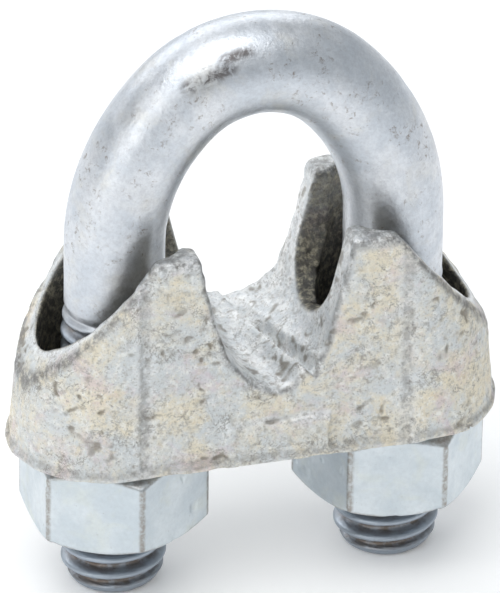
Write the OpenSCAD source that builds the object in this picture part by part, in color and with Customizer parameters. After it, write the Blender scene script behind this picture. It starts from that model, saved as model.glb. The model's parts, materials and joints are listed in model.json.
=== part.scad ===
// Wire rope clip: a U-bolt, a cast saddle that slides on its legs, and two hexagon nuts.
// X runs from leg to leg, Y along the rope, Z up. The stud ends stand on Z = 0.

/* [U-bolt] */
// Thread major diameter, mm (5/16-18 UNC)
thread_d = 7.94; // [4.8:0.01:10.5]
// Thread pitch, mm
thread_pitch = 1.411; // [0.8:0.001:2.5]
// Length of thread from each stud end, mm
thread_length = 22.6; // [14:0.1:26]
// Diameter of the plain bar, mm
bar_d = 7.5; // [4.5:0.05:10]
// Distance between the two leg axes, mm
leg_spacing = 21.3; // [17:0.1:26]
// Height of the bow's inner crown above the stud ends, mm
window_top = 38.5; // [35.5:0.1:44.5]
// Height where the legs start to bend, mm
leg_straight = 28.4; // [24.5:0.1:31.5]
// Radius lost to the bevel at each stud end, mm
stud_bevel = 0.65; // [0.2:0.05:1.5]
// Length of the bevel at each stud end, mm
stud_taper = 1.2; // [0.4:0.1:3]

/* [Saddle] */
// Overall length of the saddle along X, mm
saddle_length = 37.6; // [34:0.1:60]
// Overall width of the saddle along Y at its foot, mm
saddle_width = 14.1; // [12.5:0.1:24]
// Height of the horns above the underside, mm
saddle_height = 18; // [15:0.1:26]
// Inward lean of each rounded end, degrees
end_lean = 5; // [0:0.5:10]
// Diameter of the rope that the seat cradles, mm (5/16 in)
rope_d = 7.94; // [6:0.01:12]
// Height of the rope seat's lowest line above the underside, mm
seat_floor = 7.3; // [4:0.1:9]
// Width of the opening between the horns' tops, mm
horn_gap = 11.7; // [9:0.1:14]
// Widening of the seat at the front and back faces, mm
groove_flare = 1; // [0.2:0.05:2.5]
// Depth of the helical flutes in the rope seat, mm
flute_depth = 0.9; // [0.3:0.05:2]
// Turn of the flutes about the rope's axis across the saddle, degrees
flute_turn = 48; // [20:1:90]
// Diameter of the round pocket about each leg, mm
pocket_d = 11.2; // [9.5:0.1:12.5]
// Height of the lowest line of the slot between each pair of horns, mm
slot_floor = 9.4; // [6:0.1:14]
// Thickness of the foot below each pocket, mm
foot_thickness = 3.8; // [2.5:0.1:9]
// Width of the flat on top of each horn along X, mm
horn_top = 3.2; // [1:0.1:6]
// Angle of the rim that falls from horn to end, degrees
rim_angle = 51; // [35:0.5:60]
// Height of the rim at the outer end, mm
rim_low = 8; // [5:0.1:12]
// Radius that rounds each horn's outer edge, mm
horn_round = 1; // [0.3:0.05:2]
// Height of the raised pad on the front and back, mm
pad_height = 3.6; // [1:0.1:6]

/* [Nuts] */
// Width across the nut's flats, mm
nut_flats = 12.7; // [11:0.05:16]
// Height of each nut, mm
nut_height = 6.75; // [4:0.05:10]
// Stud showing below each nut, mm
stud_showing = 5.2; // [1:0.1:9]
// Turn of the left nut at rest, degrees
nut_left_turn = -27; // [-60:1:60]
// Turn of the right nut at rest, degrees
nut_right_turn = -9; // [-60:1:60]

/* [Fits] */
// Radial clearance between thread and nut, mm
thread_gap = 0.05; // [0.02:0.01:0.1]
// Radial clearance between leg and saddle hole, mm
leg_gap = 0.4; // [0.2:0.05:1]
// Radial clearance between rope and seat, mm
rope_gap = 0.1; // [0.05:0.01:0.2]
// Clearance between the bar and the slot it enters, mm per side
slot_gap = 0.3; // [0.15:0.05:1]
// Gap between a nut's face and the saddle, mm
seat_gap = 0.05; // [0.02:0.01:0.2]

/* [Shown] */
// Sub-part to draw

/* [Hidden] */
$fn = 64;
eps = 0.01;
leg_x = leg_spacing / 2;
// The bow is a three-centred arch: two wide side arcs and a tighter crown arc, tangent at bow_angle.
bow_angle = 45;
bow_rise = window_top + bar_d / 2 - leg_straight;
bow_offset = (bow_rise - leg_x) / (1 + tan(bow_angle) - 1 / cos(bow_angle));
side_r = leg_x + bow_offset;
crown_r = side_r - bow_offset / cos(bow_angle);
crown_z = leg_straight + bow_offset * tan(bow_angle);
// Each bend swells by a hair, so the straight leg ends inside the side arc, and that arc inside the crown.
bend_swell = 0.03;
leg_lap = 0.4;
bow_lap = 1.5;
seat_z = stud_showing + nut_height + seat_gap;
end_r = saddle_width / 2;
end_x = saddle_length / 2 - end_r;
lip = 0.7;
lip_out = 0.15;
body_r = end_r - lip_out;
draft = 0.1;
face_step = 0.2;
seat_r = rope_d / 2 + rope_gap;
rope_z = seat_floor + seat_r;
mouth_length = 1.6;
flute_reach = saddle_width / 2 - mouth_length - 0.5;
flute_half = 0.6;
flute_root = seat_r - 0.6;
flute_step = 31;
flute_mid = 11;
horn_out = horn_gap / 2 + horn_top;
// Above the seat the groove opens at wall_lean from upright, and then more gently up to the horns.
wall_lean = 20;
wall_z = seat_r * sin(wall_lean);
knee_z = 2.6;
slot_half = bar_d / 2 + slot_gap;
slot_run = pocket_d / 2 + 3;
// The rim falls at rim_angle as far as rim_x, and then more steeply over rim_tail.
rim_tail = 1.1;
rim_tail_drop = 1.2;
rim_x = saddle_length / 2 - rim_tail - 0.5;
rim_top = rim_low + (rim_x - horn_out) * tan(rim_angle);
// The straight walls stop short of the ends' axes, and step out at a crease just before that.
wall_short = 1.1;
crease_run = 0.6;
wall_x = end_x - wall_short;
crease_x = wall_x - crease_run;
pad_half = 4.2;
pad_out = 0.35;
nut_corner_r = nut_flats / 2 / cos(30);
nut_face_r = nut_flats / 2 * 0.97;
nut_chamfer = (nut_corner_r - nut_face_r) * tan(30);
nut_bore_r = thread_d / 2 + thread_gap;
nut_sink = 0.4;

u_bolt();
saddle();
nut_left();
nut_right();

// U-bolt ------------------------------------------------------------------

module u_bolt()
  color([0.72, 0.75, 0.79]) {
    for (side = [-1, 1])
      translate([side * leg_x, 0, 0]) leg();
    for (side = [0, 180])
      rotate([0, 0, side])
        bow_arc(leg_straight, -bow_offset, side_r, 0, bow_angle + bow_lap, bar_d + bend_swell);
    bow_arc(crown_z, 0, crown_r, bow_angle, 180 - 2 * bow_angle, bar_d + 2 * bend_swell);
  }

// One leg: bevelled stud end, thread cylinder, run-out and plain bar.
module leg()
  rotate_extrude()
    polygon([
      [0, 0],
      [thread_d / 2 - stud_bevel, 0],
      [thread_d / 2, stud_taper],
      [thread_d / 2, thread_length],
      [bar_d / 2, thread_length + thread_pitch / 2],
      [bar_d / 2, leg_straight + leg_lap],
      [0, leg_straight + leg_lap],
    ]);

// One bend of the bow: a bar swept about an axis along Y, from one angle through another.
module bow_arc(height, centre_x, radius, from, through, thick)
  translate([centre_x, 0, height])
    rotate([90, -from, 0])
      rotate_extrude(angle = through)
        translate([radius, 0]) circle(d = thick);

// Saddle ------------------------------------------------------------------

module saddle()
  color([0.80, 0.79, 0.72])
    translate([0, 0, seat_z])
      difference() {
        intersection() {
          saddle_body();
          saddle_outline();
          saddle_crowns();
        }
        rope_groove();
        rope_mouths();
        rope_flutes();
        for (side = [-1, 1]) {
          leg_pocket(side);
          bend_slot(side);
        }
      }

// Rounded block with leaning ends, a foot lip and a low pad front and back.
module saddle_body() {
  for (side = [-1, 1]) {
    translate([side * end_x, 0, 0]) {
      rotate([0, -side * end_lean, 0])
        translate([0, 0, -2]) cylinder(r = body_r, h = saddle_height + 6);
      cylinder(r = end_r, h = lip);
    }
    translate([side * (crease_x + wall_x) / 2, 0, 0])
      wall_block(wall_x - crease_x, body_r, saddle_height, draft);
  }
  wall_block(2 * wall_x, body_r - face_step, saddle_height, draft);
  wall_block(2 * end_x, end_r, lip, 0);
  wall_block(2 * pad_half, body_r - face_step + pad_out, pad_height, 0.1);
}

// Straight block along X whose two faces lean in by the draft.
module wall_block(length, half, height, lean)
  translate([-length / 2, 0, 0])
    rotate([90, 0, 90])
      linear_extrude(length)
        polygon([
          [-half, 0],
          [half, 0],
          [half - lean, height],
          [lean - half, height],
        ]);

// Front outline: the horns' height in the middle, and the rim that falls to each rounded end.
module saddle_outline()
  translate([0, saddle_width, 0])
    rotate([90, 0, 0])
      linear_extrude(2 * saddle_width)
        for (side = [0, 1])
          mirror([side, 0])
            intersection() {
              polygon([
                [-eps, 0],
                [saddle_length / 2 + eps, 0],
                [saddle_length / 2 + eps, rim_low - 2.5 * rim_tail_drop],
                [rim_x + rim_tail, rim_low - rim_tail_drop],
                [rim_x, rim_low],
                [horn_out, rim_top],
                [-eps, rim_top],
              ]);
              translate([-eps, 0]) square([saddle_length, saddle_height]);
            }

// Rounds the horns off towards the front and back.
module saddle_crowns() {
  crown_y = body_r - draft - face_step - horn_round;
  translate([-saddle_length, 0, 0])
    rotate([90, 0, 90])
      linear_extrude(2 * saddle_length) {
        translate([-saddle_width, -eps])
          square([2 * saddle_width, saddle_height - horn_round + eps]);
        for (side = [-1, 1])
          translate([side * crown_y, saddle_height - horn_round]) circle(r = horn_round);
        translate([-crown_y, 0]) square([2 * crown_y, saddle_height]);
      }
}

// Round rope seat along Y, whose sides open upwards between the horns.
module rope_groove()
  translate([0, saddle_width, rope_z])
    rotate([90, 0, 0]) {
      cylinder(r = seat_r, h = 2 * saddle_width);
      linear_extrude(2 * saddle_width)
        for (side = [0, 1])
          mirror([side, 0])
            polygon([
              [-eps, -wall_z],
              [seat_r * cos(wall_lean), -wall_z],
              [seat_r * cos(wall_lean) + (knee_z + wall_z) * tan(wall_lean), knee_z],
              [horn_gap / 2, saddle_height - rope_z + eps],
              [-eps, saddle_height - rope_z + eps],
            ]);
    }

// Flare at each end of the rope seat.
module rope_mouths()
  for (side = [0, 180])
    rotate([0, 0, side])
      translate([0, saddle_width / 2 - mouth_length, rope_z])
        rotate([-90, 0, 0])
          cylinder(r1 = seat_r, r2 = seat_r + groove_flare, h = mouth_length + eps);

// Helical flutes across the rope seat, at the lay of the rope's strands.
module rope_flutes() {
  lay = flute_turn / saddle_width;
  translate([0, flute_reach, rope_z])
    rotate([90, 0, 0])
      for (strand = [-2 : 1])
        rotate([0, 0, flute_mid + strand * flute_step - lay * flute_reach - 90])
          linear_extrude(2 * flute_reach, twist = -2 * flute_reach * lay, slices = 10, segments = 7)
            polygon([
              [flute_root, -flute_half],
              [seat_r + 0.1 * flute_depth, -flute_half],
              [seat_r + 0.8 * flute_depth, -flute_half / 2],
              [seat_r + flute_depth, 0],
              [seat_r + 0.8 * flute_depth, flute_half / 2],
              [seat_r + 0.1 * flute_depth, flute_half],
              [flute_root, flute_half],
            ]);
}

// Hole for the leg, and the wide pocket above it.
module leg_pocket(side)
  translate([side * leg_x, 0, 0]) {
    translate([0, 0, -eps]) cylinder(r = thread_d / 2 + leg_gap, h = saddle_height);
    translate([0, 0, foot_thickness]) cylinder(d = pocket_d, h = saddle_height);
  }

// Slot between the horns that lets the bend of the bar come down into the saddle.
module bend_slot(side)
  mirror([side > 0 ? 0 : 1, 0, 0])
    translate([leg_x - slot_run, 0, slot_floor + slot_half])
      rotate([90, 0, 90]) {
        cylinder(r = slot_half, h = slot_run);
        translate([-slot_half, 0, 0]) cube([2 * slot_half, saddle_height, slot_run]);
      }

// Nuts --------------------------------------------------------------------

module nut_left()
  color([0.70, 0.74, 0.79])
    translate([-leg_x, 0, stud_showing]) rotate([0, 0, nut_left_turn]) hex_nut();

module nut_right()
  color([0.70, 0.74, 0.79])
    translate([leg_x, 0, stud_showing]) rotate([0, 0, nut_right_turn]) hex_nut();

// Hexagon nut with both faces chamfered round and both ends of the bore countersunk.
module hex_nut()
  difference() {
    intersection() {
      cylinder(r = nut_corner_r, h = nut_height, $fn = 6);
      rotate_extrude()
        polygon([
          [0, 0],
          [nut_face_r, 0],
          [nut_corner_r, nut_chamfer],
          [nut_corner_r, nut_height - nut_chamfer],
          [nut_face_r, nut_height],
          [0, nut_height],
        ]);
    }
    translate([0, 0, -eps]) cylinder(r = nut_bore_r, h = nut_height + 2 * eps);
    for (end = [0, 1])
      translate([0, 0, end * nut_height])
        mirror([0, 0, end])
          translate([0, 0, -eps])
            cylinder(r1 = nut_bore_r + nut_sink, r2 = nut_bore_r, h = nut_sink);
  }
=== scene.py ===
"""Looks of a wire rope clip: a zinc-plated U-bolt, a rough cast saddle and two hexagon nuts.

Sizes are in millimetres. The bolt is a swept bar. The saddle and the nuts are the zero surfaces of distance
fields (negative inside), which hold the casting's roughness and the nuts' threads. Marks are values from 0 to
1 at each vertex that tell a material where the surface is worn, dark or bare.
"""

import json
import math

import bpy
import numpy as np
from mathutils import Matrix, Vector


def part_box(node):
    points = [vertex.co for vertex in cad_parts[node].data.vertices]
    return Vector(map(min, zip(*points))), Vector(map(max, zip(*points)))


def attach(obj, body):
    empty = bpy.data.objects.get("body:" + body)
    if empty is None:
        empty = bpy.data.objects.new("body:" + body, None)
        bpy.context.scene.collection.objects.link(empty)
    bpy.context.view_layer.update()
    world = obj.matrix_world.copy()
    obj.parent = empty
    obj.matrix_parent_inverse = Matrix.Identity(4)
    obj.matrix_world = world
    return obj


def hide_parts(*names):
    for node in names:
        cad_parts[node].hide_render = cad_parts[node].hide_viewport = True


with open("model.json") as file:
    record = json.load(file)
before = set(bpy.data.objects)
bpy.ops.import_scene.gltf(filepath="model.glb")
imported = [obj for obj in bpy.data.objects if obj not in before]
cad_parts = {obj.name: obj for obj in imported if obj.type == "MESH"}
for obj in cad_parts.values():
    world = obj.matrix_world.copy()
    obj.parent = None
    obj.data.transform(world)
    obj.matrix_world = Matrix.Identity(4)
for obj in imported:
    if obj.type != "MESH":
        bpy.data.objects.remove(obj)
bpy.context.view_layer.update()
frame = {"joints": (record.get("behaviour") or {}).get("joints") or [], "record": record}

MM = 1000.0
mounts = {m["name"]: m for m in frame["record"]["mounts"]}
joints = {j["name"]: j for j in frame["joints"]}


def box_mm(node):
    """Lowest and highest corner of a CAD node, in millimetres."""
    low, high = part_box(node)
    return np.array(low) * MM, np.array(high) * MM


# Places, from the frame
bolt_low, bolt_high = box_mm("u_bolt")
saddle_low, saddle_high = box_mm("saddle")
nut_low, nut_high = box_mm("nut_left")
LEG_X = joints["nut_right_turn"]["pos_m"][0] * MM
THREAD_R = bolt_high[0] - LEG_X
SEAT_Z = saddle_low[2]
TOP_Z = bolt_high[2]

# U-bolt
PITCH = 1.411
THREAD_LENGTH = 22.6
THREAD_DEPTH = 0.6 * PITCH
THREAD_CREST = 0.125  # flat crest on each side of the helix, as a share of half the pitch
THREAD_FLANK = 0.65  # the sloping flank, the same way
THREAD_ROUND = 0.06  # rounding of crest and root, as a share of the depth
BAR_R = 3.75
LEG_STRAIGHT = 28.4
BOW_ANGLE = math.radians(45)  # where the side arc meets the crown arc
BEVEL = 0.65  # bevel of the stud ends: inwards and along
TAPER = 1.2
BAR_WAVE, BAR_DENT = 0.02, 0.03  # unevenness of the bare bar
RING_POINTS = 96
RINGS_PER_PITCH = 14

# Painted dark reflections on the bend, drawn as streaks: both ends and the reach to each side
DARK_REFLECTIONS = (
    ((-3.2, -2.7, 44.3), (-1.4, -2.7, 44.8), 0.7),
    ((-6.0, -3.0, 42.5), (-2.9, -3.2, 43.8), 0.8),
)

# Saddle, measured from the middle of its underside
LENGTH, WIDTH, HEIGHT = saddle_high - saddle_low
END_X = LENGTH / 2 - WIDTH / 2  # centre of a round end
LEAN = math.radians(5)  # of the round ends
LIP, LIP_OUT = 0.7, 0.15  # height and reach of the foot's lip
DRAFT = 0.1
FACE_STEP = 0.2  # how far the flat faces lie behind the round ends
CREASE_X = LEG_X - 0.6
FOOT = 3.8  # floor of the leg pockets
POCKET_R = 5.6
HOLE_R = THREAD_R + 0.4
SLOT_FLOOR = 9.4
SLOT_HALF = BAR_R + 0.3
PAD_HALF, PAD_HEIGHT, PAD_OUT = 4.2, 3.6, 0.35

# Sloping rim over each end: the main slope, and a steeper one that rounds its outer edge
RIM_X = LENGTH / 2 - 1.6
RIM_LOW = 8.0
RIM_ANGLE = math.radians(51)
STEEP_ANGLE = 1.2
STEEP_OUT = 0.35

# Rope groove
ROPE_R = mounts["rope_groove"]["dims"]["r_mm"]
ROPE_Z = mounts["rope_groove"]["pos_m"][2] * MM - SEAT_Z
HORN_GAP = 11.7
HORN_SLOPE = 0.14
MOUTH_LEAN = math.radians(20)
FLUTE_DEPTH = 1.05
CREST = 8.5  # degrees across the lay
LAY = 3.4  # degrees of lay for each millimetre along the rope
FLARE, MOUTH = 0.25, 1.6  # the groove widens by the first over the second at the front face

# The casting's skin: its mean depth below the smooth shape keeps the lumps inside the CAD box
SADDLE_STEP = 0.15
SKIN = 0.06
SKIN_DEEPEST = 0.3
PIT_DEPTH = 0.13

# Nuts
NUT_HEIGHT = nut_high[2] - nut_low[2]
NUT_HALF = NUT_HEIGHT / 2
FLATS = 12.7
CORNER = FLATS / 2 / math.cos(math.pi / 6)
CHAMFER_R = 0.97 * FLATS / 2
CHAMFER = math.radians(30)
COUNTERSINK = 0.5
NUT_GAP = 0.07
NUT_STEP = 0.12
NUT_SKIN, NUT_DENT = 0.02, 0.06
TURN = {"nut_left": math.radians(-27), "nut_right": math.radians(-9)}


# Field tools ---------------------------------------------------------------


def smooth_min(a, b, fillet):
    """Union of two distance fields with a fillet of about that width."""
    h = np.clip(0.5 + 0.5 * (b - a) / fillet, 0, 1)
    return b + (a - b) * h - fillet * h * (1 - h)


def smooth_max(a, b, fillet):
    """Intersection of two distance fields with a rounded edge of about that width."""
    return -smooth_min(-a, -b, fillet)


def ease(low, high, value):
    """0 below low, 1 above high, smooth between."""
    t = np.clip((value - low) / (high - low), 0, 1)
    return t * t * (3 - 2 * t)


def near_zero(full, none, value):
    """1 where the value is within full of zero, 0 beyond none."""
    return 1 - ease(full, none, np.abs(value))


def noise(x, y, z, size, seed):
    """Smooth noise from -1 to 1 whose lumps are about size across."""
    period = 24
    lattice = np.random.default_rng(seed).random((period,) * 3).astype(np.float32) * 2 - 1
    whole, part = [], []
    for c in (x, y, z):
        f = np.floor(c / size)
        t = c / size - f
        whole.append(f.astype(int))
        part.append(t * t * (3 - 2 * t))
    total = 0.0
    for corner in np.ndindex(2, 2, 2):
        weight = 1.0
        for d, t in zip(corner, part):
            weight = weight * (t if d else 1 - t)
        i, j, k = ((w + d) % period for w, d in zip(whole, corner))
        total = total + lattice[i, j, k] * weight
    return total


def surface_net(field, low, step):
    """Closed quad mesh of the surface where a sampled field is zero; inside is negative."""
    inside = field < 0
    corners = list(np.ndindex(2, 2, 2))
    cells = tuple(n - 1 for n in field.shape)
    count = np.zeros(cells, np.int8)
    for i, j, k in corners:
        count += inside[i : i + cells[0], j : j + cells[1], k : k + cells[2]]
    active = np.argwhere((count > 0) & (count < len(corners)))

    # One point in each cell the surface crosses: the mean of the crossings on the cell's edges
    values = [field[tuple((active + c).T)] for c in corners]
    total = np.zeros((len(active), 3))
    hits = np.zeros(len(active))
    for a, ca in enumerate(corners):
        for b, cb in enumerate(corners):
            if b <= a or sum(abs(p - q) for p, q in zip(ca, cb)) != 1:
                continue
            va, vb = values[a], values[b]
            crossed = (va < 0) != (vb < 0)
            t = np.where(crossed, va / np.where(crossed, va - vb, 1), 0)[:, None]
            total += crossed[:, None] * (np.array(ca) + t * (np.array(cb) - np.array(ca)))
            hits += crossed
    points = low + step * (active + total / hits[:, None])

    # One quad around each grid edge the surface crosses
    index = np.full(cells, -1)
    index[tuple(active.T)] = np.arange(len(active))
    quads = []
    for axis in range(3):
        ahead = np.eye(3, dtype=int)[axis]
        first = inside[tuple(slice(0, n - a) for n, a in zip(field.shape, ahead))]
        second = inside[tuple(slice(a, n) for n, a in zip(field.shape, ahead))]
        u, v = (axis + 1) % 3, (axis + 2) % 3
        edge = np.argwhere(first != second)
        edge = edge[(edge[:, u] > 0) & (edge[:, v] > 0)]
        out = first[tuple(edge.T)]
        ring = []
        for du, dv in ((1, 1), (0, 1), (0, 0), (1, 0)):
            cell = edge.copy()
            cell[:, u] -= du
            cell[:, v] -= dv
            ring.append(index[tuple(cell.T)])
        ring = np.stack(ring, 1)
        quads += [ring[out], ring[~out][:, ::-1]]
    return points, np.concatenate(quads)


def grid(low, high, step):
    """Sample places that cover a box with two spare steps on each side."""
    axes = [np.arange(a - 2.3 * step, b + 3 * step, step) for a, b in zip(low, high)]
    x, y, z = np.meshgrid(*axes, indexing="ij")
    return np.array([a[0] for a in axes]), x, y, z


def make_piece(name, points, faces, body, node, marks):
    """A mesh piece in the row frame that stands for a CAD node; marks are its per-vertex values."""
    mesh = bpy.data.meshes.new(name)
    mesh.from_pydata((points / MM).tolist(), [], [list(map(int, f)) for f in faces])
    for key, value in marks.items():
        attribute = mesh.attributes.new(key, "FLOAT", "POINT")
        attribute.data.foreach_set("value", np.asarray(value, np.float32))
    mesh.polygons.foreach_set("use_smooth", [True] * len(mesh.polygons))
    mesh.update()
    piece = bpy.data.objects.new(name, mesh)
    bpy.context.scene.collection.objects.link(piece)
    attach(piece, body)
    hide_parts(node)
    return piece


# U-bolt --------------------------------------------------------------------


def thread_dip(height, angle):
    """How deep a right-hand thread is cut, from 0 on the crest to 1 in the root."""
    turn = (height / PITCH - angle / (2 * math.pi)) % 1.0
    off = np.abs(turn - 0.5) * 2
    return ease(THREAD_ROUND, 1 - THREAD_ROUND, np.clip((off - THREAD_CREST) / THREAD_FLANK, 0, 1))


def arc(centre_x, centre_z, radius, turn):
    """Points and directions on an arc that starts left of its centre and bends to the right."""
    points = np.stack([centre_x - radius * np.cos(turn), 0 * turn, centre_z + radius * np.sin(turn)], 1)
    return points, np.stack([np.sin(turn), 0 * turn, np.cos(turn)], 1)


def bolt_route():
    """Points and directions along the bar, from the left stud end to the right one."""
    rise = TOP_Z - LEG_STRAIGHT - BAR_R
    offset = (rise - LEG_X) / (1 + math.tan(BOW_ANGLE) - 1 / math.cos(BOW_ANGLE))
    side_r = LEG_X + offset
    crown_r = side_r - offset / math.cos(BOW_ANGLE)
    crown_z = LEG_STRAIGHT + offset * math.tan(BOW_ANGLE)
    thread = np.arange(0, THREAD_LENGTH + 3 * PITCH, PITCH / RINGS_PER_PITCH)
    plain = np.linspace(thread[-1] + 0.35, LEG_STRAIGHT, 5)
    height = np.concatenate([thread, plain])
    leg = np.stack([-LEG_X + 0 * height, 0 * height, height], 1)
    up = np.tile([0.0, 0.0, 1.0], (len(height), 1))
    bend, turning = arc(offset, LEG_STRAIGHT, side_r, np.linspace(0, BOW_ANGLE, 26)[1:])
    crown, over = arc(0, crown_z, crown_r, np.linspace(BOW_ANGLE, math.pi / 2, 24)[1:])
    points = np.concatenate([leg, bend, crown])
    along = np.concatenate([up, turning, over])
    points = np.concatenate([points, (points * [-1, 1, 1])[-2::-1]])
    along = np.concatenate([along, (along * [1, 1, -1])[-2::-1]])
    return points, along


def dark_reflection_mark(points):
    """1 on the painted dark reflections, fading to 0 at their reach."""
    dark_reflection = np.zeros(len(points))
    for start, end, reach in DARK_REFLECTIONS:
        start, run = np.array(start), np.array(end) - np.array(start)
        share = np.clip((points - start) @ run / (run @ run), 0, 1)
        gap = np.linalg.norm(points - start - share[:, None] * run, axis=1)
        dark_reflection = np.maximum(dark_reflection, 1 - ease(0.2 * reach, reach, gap))
    return dark_reflection


def make_bolt():
    """The swept bar: threaded legs with bevelled ends, and a slightly dented bow."""
    points, along = bolt_route()
    rows = len(points)
    height = points[:, 2:3]
    outward = np.cross(along, [0.0, 1.0, 0.0])[:, None]
    angle = (np.arange(RING_POINTS) / RING_POINTS * 2 * math.pi)[:, None]
    ring = outward * np.cos(angle) + np.array([0.0, 1.0, 0.0]) * np.sin(angle)
    cut = thread_dip(height, np.arctan2(ring[..., 1], ring[..., 0]))
    threaded = 1 - ease(THREAD_LENGTH - PITCH, THREAD_LENGTH + PITCH, height)
    crest = BAR_R + (THREAD_R - BAR_R) * threaded
    end = np.minimum(THREAD_R - BEVEL + BEVEL * height / TAPER, THREAD_R + 1)
    radius = np.minimum(crest - THREAD_DEPTH * threaded * cut, end)
    x, y, z = np.moveaxis(points[:, None] + ring * BAR_R, -1, 0)
    dents = BAR_DENT * ease(0.35, 0.8, noise(x, y, z, size=1.3, seed=12))
    rough = BAR_WAVE * (noise(x, y, z, size=5.0, seed=11) - 1) - dents
    radius = radius + rough * (1 - threaded)
    shell = points[:, None] + ring * radius[..., None]

    index = np.arange(rows * RING_POINTS).reshape(rows, RING_POINTS)
    beside = np.roll(index, -1, 1)
    faces = np.stack([index[:-1], index[1:], beside[1:], beside[:-1]], -1).reshape(-1, 4).tolist()
    verts = [shell.reshape(-1, 3)]
    for row, flip in ((0, 1), (rows - 1, -1)):
        base = sum(len(v) for v in verts)
        middle = points[row]
        inner = middle + (shell[row] - middle) * 0.5
        verts += [inner, middle[None]]
        for i in range(RING_POINTS):
            j = (i + 1) % RING_POINTS
            faces.append([index[row, i], index[row, j], base + j, base + i][::flip])
            faces.append([base + i, base + j, base + RING_POINTS][::flip])
    verts = np.concatenate(verts)

    root = np.zeros(len(verts))
    root[: index.size] = (threaded * cut).ravel()
    steel = np.ones(len(verts))
    steel[: index.size] = np.broadcast_to(threaded, index.shape).ravel()
    # Marks: thread root, bare steel thread, and the painted dark reflections on the bend
    marks = {"root": root, "steel": steel, "dark_reflection": dark_reflection_mark(verts)}
    return make_piece("bolt", verts, faces, "u_bolt", "u_bolt", marks)


# Saddle --------------------------------------------------------------------


def lay_depth(turn):
    """Seat depth below the rope, by degrees across the lay: a broad flute, a crest and a sharp valley."""
    flute = ease(-67, -16, turn) * (1 - 0.85 * ease(-12, CREST, turn))
    valley = ease(CREST, CREST + 2.5, turn) * (1 - ease(CREST + 3, CREST + 18, turn))
    return FLUTE_DEPTH * (flute + 0.80 * valley)


def groove_void(x, y, z):
    """The rope's groove: a round seat, opening upwards, with flutes that follow the rope's lay."""
    rise = z - ROPE_Z
    across = np.abs(x) - ROPE_R * math.cos(MOUTH_LEAN)
    above = rise + ROPE_R * math.sin(MOUTH_LEAN)
    cheek = across * math.cos(MOUTH_LEAN) - above * math.sin(MOUTH_LEAN)
    seat = np.where(above > 0, cheek, np.hypot(x, rise) - ROPE_R)
    wall = (np.abs(x) - HORN_GAP / 2) * 0.99 + (HEIGHT - z) * HORN_SLOPE
    angle = np.degrees(np.arctan2(x, -rise))
    low_side = 1 - ease(50, 100, np.abs(angle))
    front = 1 - ease(0, WIDTH / 2, y)
    face = ease(MOUTH, 0, WIDTH / 2 - np.abs(y))
    ribs = lay_depth(angle + LAY * y) * (0.4 + 0.6 * front)
    return smooth_max(seat, wall, fillet=1.6) - (ribs + FLARE * face * front) * low_side


def saddle_shapes(x, y, z):
    """The casting's separate fields: block, outline seen from the front, groove, pocket and slot."""
    ax, ay = np.abs(x), np.abs(y)
    face_y = WIDTH / 2 - LIP_OUT
    inset = FACE_STEP * (1 - ease(CREASE_X - 0.25, CREASE_X + 0.25, ax)) + DRAFT * z / HEIGHT
    block = np.hypot(np.maximum(ax - END_X + z * math.tan(LEAN), 0), ay) - face_y + inset
    crease = np.hypot(ax - CREASE_X, (ay - face_y + 0.1) * 1.6) - 0.25
    block = smooth_max(block, -crease, fillet=0.25)
    out, up = ax - RIM_X, z - RIM_LOW
    slope = out * math.sin(RIM_ANGLE) + up * math.cos(RIM_ANGLE)
    steep = out * math.sin(STEEP_ANGLE) + up * math.cos(STEEP_ANGLE) - STEEP_OUT
    outline = smooth_max(smooth_max(z - HEIGHT, slope, fillet=0.3), steep, fillet=0.8)
    pocket = smooth_max(np.hypot(ax - LEG_X, y) - POCKET_R, FOOT - z, fillet=0.8)
    middle = SLOT_FLOOR + SLOT_HALF
    slot = np.where(z < middle, np.hypot(y, z - middle), ay) - SLOT_HALF
    slot = np.maximum(slot, np.maximum(ax - LEG_X, LEG_X - POCKET_R - 3 - ax))
    return block, outline, groove_void(x, y, z), pocket, slot


def saddle_field(x, y, z):
    """The smooth casting: block, pad and foot joined, then groove, pockets, slots and leg holes cut."""
    block, outline, void, pocket, slot = saddle_shapes(x, y, z)
    ax, ay = np.abs(x), np.abs(y)
    body = smooth_max(block, outline, fillet=0.5)
    pad_side = ax - PAD_HALF - 0.5 * noise(x, y, z, size=1.7, seed=25)
    pad_top = z - PAD_HEIGHT - 0.4 * noise(x, y, z, size=1.9, seed=26)
    pad_face = ay - WIDTH / 2 + LIP_OUT + FACE_STEP - PAD_OUT
    body = smooth_min(body, np.maximum(np.maximum(pad_side, pad_top), pad_face), fillet=0.3)
    foot = np.hypot(np.maximum(ax - END_X, 0), ay) - WIDTH / 2
    body = smooth_min(body, np.maximum(foot, z - LIP), fillet=0.25)
    body = smooth_max(body, -z, fillet=0.25)
    body = smooth_max(body, -void, fillet=0.4)
    hole = np.hypot(ax - LEG_X, y) - HOLE_R
    hollow = np.minimum(np.minimum(pocket, slot), hole)
    return smooth_max(body, -hollow, fillet=0.35)


def pitting(x, y, z, void):
    """Small pits in clusters, thickest in the groove, from 0 on sound skin to 1 in a pit."""
    # The noise is read at warped places, so that no pit is square
    dx = noise(x, y, z, size=0.8, seed=27)
    dy = noise(x, y, z, size=0.8, seed=28)
    small = noise(x + 0.5 * dx, y + 0.5 * dy, z + 0.5 * dx, size=0.55, seed=23)
    cluster = ease(-0.3, 0.5, noise(x + dx, y + dy, z - dx, size=2.6, seed=24))
    groove = near_zero(0.2, 0.6, void) * ease(-0.9, 0.1, noise(x, y, z, size=2.1, seed=33))
    return ease(0.28, 0.70, small) * np.maximum(cluster, groove)


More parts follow.
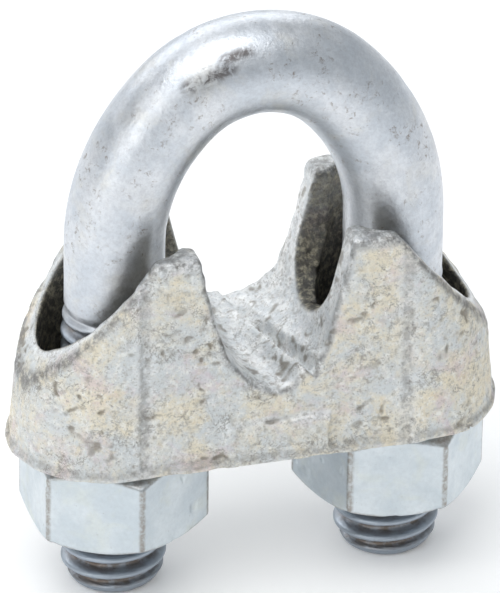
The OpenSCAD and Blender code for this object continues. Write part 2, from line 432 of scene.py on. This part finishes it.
def skin_depth(x, y, z):
    """How far the rough skin lies below the smooth casting: waves, chipped edges and pits."""
    block, outline, void, _, _ = saddle_shapes(x, y, z)
    off_void = np.abs(void)
    fine = 0.05 * noise(x, y, z, size=1.1, seed=22) * ease(0, 1, off_void)
    wave = 0.06 * noise(x, y, z, size=3.1, seed=21) + fine
    edge = near_zero(0.2, 1.0, np.maximum(np.abs(block), np.minimum(np.abs(outline), off_void)))
    chip = 0.10 * noise(x, y, z, size=0.9, seed=29) + 0.05 * noise(x, y, z, size=0.5, seed=30)
    pits = PIT_DEPTH * pitting(x, y, z, void) * ease(0, 1.2, off_void)
    return SKIN + (wave + edge * chip).clip(-SKIN, SKIN_DEEPEST) + pits


def saddle_marks(x, y, z):
    """Bright worn places (groove, rim) with painted highlight on the groove, horn tops and pad top, dark ones
    (pit, crust) and the pockets' painted shade.
    """
    block, outline, void, pocket, slot = saddle_shapes(x, y, z)
    near_face = np.abs(y) > WIDTH / 2 - 1.5
    off_crease = np.abs(x) - CREASE_X
    hollow = np.minimum(pocket, slot)
    top = ease(HEIGHT - 1.2, HEIGHT - 0.4, z)

    on_pad = (np.abs(x) < PAD_HALF) * (np.abs(y) > WIDTH / 2 - 1)
    pad_top = near_zero(0.1, 0.5, z - PAD_HEIGHT) * on_pad
    # Groove mark: the rope's worn seat, plus painted highlight on the groove, the horn tops and the pad's top
    # ledge, where they face the light
    groove = np.max([near_zero(0.15, 0.55, void), 0.9 * top, 0.8 * pad_top], axis=0)

    pocket_rim = ease(0.02, 0.25, hollow) * (1 - ease(0.4, 0.9, hollow)) * ease(FOOT + 1, FOOT + 3, z)
    rim = np.maximum(pocket_rim, 0.55 * near_zero(0.3, 1.4, off_crease) * near_face)

    lip = near_zero(0.1, 0.5, z - LIP)
    crease = near_zero(0.15, 0.7, off_crease) * near_face
    brim = near_zero(0.15, 0.7, np.maximum(np.abs(block), np.abs(outline)))
    mouth = near_zero(0.1, 0.55, np.maximum(np.abs(block), np.abs(void)))
    crust = np.max([0.5 * lip, 0.55 * crease, brim, 0.9 * mouth, 0.75 * top], axis=0)

    # Painted shade inside the leg pockets and slots, lighter towards the top
    shade = (1 - ease(0.1, 0.45, hollow)) * (1 - 0.35 * ease(HEIGHT - 8, HEIGHT - 1, z))
    pit = pitting(x, y, z, void)
    return {"groove": groove, "pocket": shade, "rim": rim, "pit": pit, "crust": crust}


def make_saddle():
    """The rough casting, kept inside the CAD node's box."""
    low = np.array([-LENGTH / 2, -WIDTH / 2, 0.0])
    high = np.array([LENGTH / 2, WIDTH / 2, HEIGHT])
    start, x, y, z = grid(low, high, SADDLE_STEP)
    field = saddle_field(x, y, z)
    near = np.abs(field) < 3 * SADDLE_STEP
    field[near] += skin_depth(x[near], y[near], z[near])
    points, faces = surface_net(field, start, SADDLE_STEP)
    points = np.clip(points, low, high)
    marks = saddle_marks(*points.T)
    points = points + [0, 0, SEAT_Z]
    return make_piece("saddle_casting", points, faces, "saddle", "saddle", marks)


# Nuts ----------------------------------------------------------------------


def nut_field(x, y, z, base, turn):
    """A chamfered hexagon nut whose thread is in step with the stud's, which starts at the stud end."""
    out, angle = np.hypot(x, y), np.arctan2(y, x)
    cx, cy = out * np.cos(angle - turn), out * np.sin(angle - turn)
    flats = np.abs(cy) - FLATS / 2
    for way in (-1, 1):
        pair = np.abs(cx * math.sin(way * math.pi / 3) + cy * 0.5) - FLATS / 2
        flats = smooth_max(flats, pair, fillet=0.18)
    middle = np.abs(z - NUT_HALF)
    cone = (out - CHAMFER_R) * math.sin(CHAMFER) + (middle - NUT_HALF) * math.cos(CHAMFER)
    body = smooth_max(smooth_max(flats, cone, fillet=0.15), middle - NUT_HALF, fillet=0.15)
    thread = THREAD_R - 0.75 * THREAD_DEPTH * thread_dip(z + base, angle) + NUT_GAP
    sink = THREAD_R + COUNTERSINK - (NUT_HALF - middle)
    bore = np.maximum(thread, sink) - out
    return smooth_max(body, bore * 0.8, fillet=0.1)


def make_nut(node, side):
    """A nut on the left (-1) or right (1) leg, worn along its corners and round chamfers."""
    base = nut_low[2]
    start, x, y, z = grid([-CORNER, -CORNER, 0], [CORNER, CORNER, NUT_HEIGHT], NUT_STEP)
    field = nut_field(x, y, z, base, TURN[node])
    near = np.abs(field) < 3 * NUT_STEP
    px, py, pz = x[near] + 40 * side, y[near], z[near]  # apart, so that the two nuts differ
    dents = NUT_DENT * ease(0.5, 0.9, noise(px, py, pz, size=0.6, seed=32))
    field[near] += NUT_SKIN * (1 + noise(px, py, pz, size=2.5, seed=31)) + dents
    points, faces = surface_net(field, start, NUT_STEP)
    out, z = np.hypot(points[:, 0], points[:, 1]), points[:, 2]
    lead = NUT_HALF - np.abs(z - NUT_HALF)
    cone = (out - CHAMFER_R) * math.tan(CHAMFER)
    arc_line = near_zero(0.06, 0.20, lead - cone) * ease(FLATS / 2 * 1.005, FLATS / 2 * 1.03, out)
    corner_line = ease(CORNER - 0.20, CORNER - 0.11, out)
    bore = 1 - ease(THREAD_R + 0.2, THREAD_R + 0.6, out)
    points = points + [side * LEG_X, 0, base]
    marks = {"wear": np.maximum(corner_line, 0.8 * arc_line), "bore": bore}
    return make_piece(node + "_hex", points, faces, node, node, marks)


# Materials -----------------------------------------------------------------


class Nodes:
    """Short names for building one material's node tree."""

    def __init__(self, name):
        self.material = bpy.data.materials.new(name)
        self.material.use_nodes = True
        self.tree = self.material.node_tree
        self.shader = self.tree.nodes["Principled BSDF"]
        self.place = self.tree.nodes.new("ShaderNodeTexCoord").outputs["Object"]

    def set(self, socket, value):
        """Puts a colour, a number or another node's output on a socket."""
        if isinstance(value, tuple):
            socket.default_value = (*value, 1)
        elif isinstance(value, (int, float)):
            socket.default_value = value
        else:
            self.tree.links.new(value, socket)

    def noise(self, size_mm, detail, rough, warp=0.0):
        node = self.tree.nodes.new("ShaderNodeTexNoise")
        self.set(node.inputs["Scale"], MM / size_mm)
        self.set(node.inputs["Detail"], detail)
        self.set(node.inputs["Roughness"], rough)
        self.set(node.inputs["Distortion"], warp)
        self.set(node.inputs["Vector"], self.place)
        return node.outputs["Fac"]

    def map(self, value, low, high, least=0.0, most=1.0):
        """Smooth rise from least to most while the value goes from low to high."""
        node = self.tree.nodes.new("ShaderNodeMapRange")
        node.interpolation_type = "SMOOTHSTEP"
        self.set(node.inputs["Value"], value)
        ends = {"From Min": low, "From Max": high, "To Min": least, "To Max": most}
        for key, number in ends.items():
            self.set(node.inputs[key], number)
        return node.outputs["Result"]

    def patches(self, size_mm, low, high, detail, rough, warp=0.0, least=0.0, most=1.0):
        """Patches of noise: least where the noise is below low, most where it is above high."""
        return self.map(self.noise(size_mm, detail, rough, warp), low, high, least, most)

    def mark(self, name):
        node = self.tree.nodes.new("ShaderNodeAttribute")
        node.attribute_name = name
        return node.outputs["Fac"]

    def math(self, operation, a, b):
        node = self.tree.nodes.new("ShaderNodeMath")
        node.operation = operation
        self.set(node.inputs[0], a)
        self.set(node.inputs[1], b)
        return node.outputs[0]

    def times(self, a, b):
        return self.math("MULTIPLY", a, b)

    def mix(self, share, a, b):
        """Colour a, covered by colour b as far as share says."""
        node = self.tree.nodes.new("ShaderNodeMix")
        node.data_type = "RGBA"
        for key, value in (("Factor", share), ("A", a), ("B", b)):
            self.set(node.inputs[key], value)
        return node.outputs["Result"]

    def bump(self, value, depth_mm, after=None):
        node = self.tree.nodes.new("ShaderNodeBump")
        self.set(node.inputs["Distance"], depth_mm / MM)
        self.set(node.inputs["Strength"], 1.0)
        self.set(node.inputs["Height"], value)
        if after is not None:
            self.set(node.inputs["Normal"], after)
        return node.outputs["Normal"]

    def finish(self, colour, rough, normal, metallic):
        sockets = {"Base Color": colour, "Roughness": rough, "Normal": normal, "Metallic": metallic}
        for key, value in sockets.items():
            self.set(self.shader.inputs[key], value)
        return self.material


def bolt_material():
    """Satin zinc on a bent bar: pale blue-grey, clouded, with small dark specks; a darker, browner thread;
    painted dark reflections on the bend.
    """
    blue_grey, pale, warm = (0.62, 0.66, 0.71), (0.76, 0.78, 0.81), (0.71, 0.69, 0.63)
    # The last colour on the next line is the grey of the painted dark reflections on the bend
    grain, speck, reflection_grey = (0.42, 0.43, 0.46), (0.27, 0.23, 0.20), (0.16, 0.15, 0.15)
    steel, brown = (0.33, 0.38, 0.44), (0.16, 0.12, 0.09)

    n = Nodes("zinc_bar")
    colour = n.mix(n.patches(5.0, 0.36, 0.64, detail=8, rough=0.65), blue_grey, pale)
    colour = n.mix(n.patches(3.2, 0.50, 0.72, detail=6, rough=0.65, warp=0.4, most=0.5), colour, warm)
    colour = n.mix(n.patches(0.35, 0.38, 0.66, detail=6, rough=0.8, most=0.36), colour, grain)
    specks = n.patches(0.55, 0.55, 0.65, detail=5, rough=0.8, warp=0.4, most=0.8)
    clusters = n.patches(3.5, 0.46, 0.60, detail=5, rough=0.65, least=0.06)
    colour = n.mix(n.times(specks, clusters), colour, speck)

    colour = n.mix(n.times(n.mark("steel"), 0.85), colour, steel)
    uneven = n.patches(1.0, 0.35, 0.6, detail=3, rough=0.6, least=0.3, most=0.9)
    colour = n.mix(n.times(n.mark("root"), uneven), colour, brown)
    # Painted dark reflections on the bend, broken up by noise
    broken = n.patches(0.9, 0.38, 0.58, detail=6, rough=0.75, warp=0.5, least=0.1)
    colour = n.mix(n.times(n.mark("dark_reflection"), broken), colour, reflection_grey)

    rough = n.patches(1.3, 0.3, 0.7, detail=7, rough=0.7, least=0.31, most=0.50)
    normal = n.bump(n.noise(0.28, detail=5, rough=0.65), depth_mm=0.03)
    normal = n.bump(n.noise(1.8, detail=3, rough=0.5), depth_mm=0.035, after=normal)
    return n.finish(colour, rough, normal, metallic=1.0)


def saddle_material():
    """Rough casting under yellowish zinc: cream and blue-grey blotches, dark pits, a worn groove with painted
    highlight on it, and painted shade in the pockets.
    """
    blue_grey, cream, ochre = (0.66, 0.69, 0.70), (0.80, 0.74, 0.60), (0.70, 0.58, 0.38)
    pink, pale, white = (0.68, 0.57, 0.61), (0.88, 0.88, 0.85), (0.93, 0.93, 0.91)
    # The near-white zinc on the next line is painted highlight
    dull_zinc, highlight_zinc = (0.70, 0.73, 0.75), (0.97, 0.98, 0.98)
    grit, dot, line = (0.36, 0.33, 0.29), (0.30, 0.28, 0.26), (0.22, 0.20, 0.18)
    pit, scale = (0.20, 0.17, 0.13), (0.19, 0.185, 0.18)
    # The next two colours are the painted shade in the pockets: near black, and a brown that mottles it
    dark, pocket_shade_brown = (0.04, 0.036, 0.03), (0.44, 0.40, 0.29)

    n = Nodes("zinc_casting")
    colour = n.mix(n.patches(4.6, 0.40, 0.60, detail=10, rough=0.75, warp=0.3), blue_grey, cream)
    colour = n.mix(n.patches(2.2, 0.54, 0.70, detail=8, rough=0.75, warp=0.3, most=0.6), colour, ochre)
    colour = n.mix(n.patches(3.6, 0.50, 0.66, detail=8, rough=0.7, warp=0.5, most=0.6), colour, pink)
    colour = n.mix(n.patches(0.7, 0.50, 0.64, detail=8, rough=0.8, most=0.8), colour, pale)

    # Worn zinc on the groove and rims, with near-white painted highlight on the groove, horn tops and pad top
    polish_and_highlight = n.math("MAXIMUM", n.mark("groove"), n.mark("rim"))
    worn_and_highlight_zinc = n.mix(n.patches(1.2, 0.40, 0.62, detail=8, rough=0.75), dull_zinc, highlight_zinc)
    colour = n.mix(n.times(polish_and_highlight, 0.9), colour, worn_and_highlight_zinc)

    fine_grit = n.patches(0.45, 0.49, 0.63, detail=8, rough=0.8, most=0.85)
    clusters = n.patches(2.4, 0.38, 0.64, detail=6, rough=0.7, least=0.15)
    colour = n.mix(n.times(fine_grit, clusters), colour, grit)
    colour = n.mix(n.patches(0.2, 0.56, 0.68, detail=3, rough=0.7, most=0.65), colour, dot)
    colour = n.mix(n.patches(0.3, 0.58, 0.70, detail=4, rough=0.75, most=0.7), colour, white)

    # Fine cracks lie where a noise crosses its middle value
    apart = n.math("ABSOLUTE", n.math("SUBTRACT", n.noise(2.2, detail=7, rough=0.75, warp=0.4), 0.5), 0)
    here = n.patches(3.1, 0.48, 0.58, detail=3, rough=0.6)
    colour = n.mix(n.times(n.map(apart, 0.004, 0.016, least=0.8, most=0), here), colour, line)

    colour = n.mix(n.times(n.mark("pit"), 0.75), colour, pit)
    broken = n.patches(0.7, 0.38, 0.60, detail=7, rough=0.75, least=0.1, most=0.95)
    colour = n.mix(n.times(n.mark("crust"), broken), colour, scale)
    # Painted shade inside the pockets and slots, mottled from near black to brown
    inner = n.mix(n.patches(0.5, 0.45, 0.64, detail=8, rough=0.8), dark, pocket_shade_brown)
    colour = n.mix(n.times(n.mark("pocket"), 0.9), colour, inner)

    rough = n.map(polish_and_highlight, 0, 1, least=0.60, most=0.30)
    metallic = n.map(polish_and_highlight, 0, 1, least=0.35, most=0.90)
    normal = n.bump(n.noise(0.25, detail=6, rough=0.75), depth_mm=0.08)
    normal = n.bump(n.noise(0.9, detail=6, rough=0.7), depth_mm=0.14, after=normal)
    return n.finish(colour, rough, normal, metallic)


def nut_material():
    """Smooth zinc on pressed nuts, with brown-grey speckled wear along the corners and chamfers."""
    blue_grey, pale, tint = (0.58, 0.64, 0.68), (0.69, 0.74, 0.77), (0.67, 0.70, 0.64)
    grain, brown = (0.42, 0.44, 0.46), (0.30, 0.27, 0.24)
    speck, bore = (0.25, 0.22, 0.20), (0.20, 0.20, 0.20)

    n = Nodes("zinc_nut")
    colour = n.mix(n.patches(4.0, 0.35, 0.65, detail=7, rough=0.65), blue_grey, pale)
    colour = n.mix(n.patches(3.0, 0.50, 0.70, detail=4, rough=0.6, warp=0.6, most=0.4), colour, tint)
    colour = n.mix(n.patches(0.35, 0.38, 0.68, detail=5, rough=0.7, most=0.16), colour, grain)
    broken = n.patches(0.35, 0.36, 0.60, detail=5, rough=0.75, least=0.3, most=0.85)
    colour = n.mix(n.times(n.mark("wear"), broken), colour, brown)
    colour = n.mix(n.patches(0.6, 0.66, 0.74, detail=4, rough=0.75, most=0.6), colour, speck)
    colour = n.mix(n.times(n.mark("bore"), 0.6), colour, bore)

    rough = n.patches(1.2, 0.3, 0.7, detail=6, rough=0.7, least=0.34, most=0.48)
    normal = n.bump(n.noise(0.35, detail=5, rough=0.65), depth_mm=0.014)
    normal = n.bump(n.noise(2.6, detail=3, rough=0.5), depth_mm=0.04, after=normal)
    return n.finish(colour, rough, normal, metallic=1.0)


# Stage ---------------------------------------------------------------------


def make_camera():
    """Camera at the photograph's viewing angle: long lens, from the front, left and above."""
    azimuth, elevation, roll = -0.27218, 0.54296, 0.014254
    distance = 0.5558
    aim_right, aim_up = -0.000255, 0.019121
    level = math.cos(elevation)
    back = Vector((math.sin(azimuth) * level, -math.cos(azimuth) * level, math.sin(elevation)))
    right = Vector((math.cos(azimuth), math.sin(azimuth), 0))
    up = back.cross(right)
    across = right * math.cos(roll) + up * math.sin(roll)
    above = up * math.cos(roll) - right * math.sin(roll)
    turn = Matrix((across, above, back)).transposed()
    camera = bpy.data.objects.new("camera", bpy.data.cameras.new("camera"))
    camera.data.lens = 445.7
    camera.data.sensor_width = 36
    camera.data.clip_start, camera.data.clip_end = 0.01, 20
    place = right * aim_right + up * aim_up + back * distance
    camera.matrix_world = Matrix.Translation(place) @ turn.to_4x4()
    bpy.context.scene.collection.objects.link(camera)
    bpy.context.scene.camera = camera


def make_light(name, place, size, radiance, colour=(1, 1, 1)):
    """A rectangular softbox of that surface brightness, aimed at the middle of the clip."""
    light = bpy.data.lights.new(name, "AREA")
    light.shape = "RECTANGLE"
    light.size, light.size_y = size
    light.energy = radiance * math.pi * size[0] * size[1]
    light.color = colour
    lamp = bpy.data.objects.new(name, light)
    lamp.location = place
    aim = Vector((0, 0, 0.024)) - Vector(place)
    lamp.rotation_mode = "QUATERNION"
    lamp.rotation_quaternion = aim.to_track_quat("-Z", "Y")
    bpy.context.scene.collection.objects.link(lamp)


def make_floor():
    """A plain pale floor just under the stud ends, with a slight glow so that it reads white."""
    far = 3.0
    mesh = bpy.data.meshes.new("floor")
    mesh.from_pydata([(-far, -far, 0), (far, -far, 0), (far, far, 0), (-far, far, 0)], [], [(0, 1, 2, 3)])
    floor = bpy.data.objects.new("floor", mesh)
    floor.location = (0, 0, -0.0002)
    bpy.context.scene.collection.objects.link(floor)
    material = bpy.data.materials.new("floor")
    material.use_nodes = True
    inputs = material.node_tree.nodes["Principled BSDF"].inputs
    inputs["Base Color"].default_value = (0.93, 0.93, 0.93, 1)
    inputs["Roughness"].default_value = 0.8
    inputs["Emission Color"].default_value = (1, 1, 1, 1)
    inputs["Emission Strength"].default_value = 0.12
    mesh.materials.append(material)


def make_studio():
    """An even pale surround, and a softbox above, at the left and behind."""
    world = bpy.data.worlds.new("studio")
    world.use_nodes = True
    inputs = world.node_tree.nodes["Background"].inputs
    inputs["Color"].default_value = (0.93, 0.97, 1.0, 1)
    inputs["Strength"].default_value = 0.55
    bpy.context.scene.world = world
    make_light("key", (-0.14, -0.10, 0.50), (0.42, 0.42), 2.5)
    make_light("side", (-0.45, -0.28, 0.20), (0.30, 0.34), 1.5, (1.0, 0.99, 0.97))
    make_light("back", (-0.06, 0.45, 0.28), (0.80, 0.26), 1.6, (0.97, 0.98, 1.0))


bpy.context.scene.view_settings.view_transform = "Standard"
make_camera()
make_floor()
make_studio()

make_bolt().data.materials.append(bolt_material())
make_saddle().data.materials.append(saddle_material())
nut_finish = nut_material()
for node, side in (("nut_left", -1), ("nut_right", 1)):
    make_nut(node, side).data.materials.append(nut_finish)
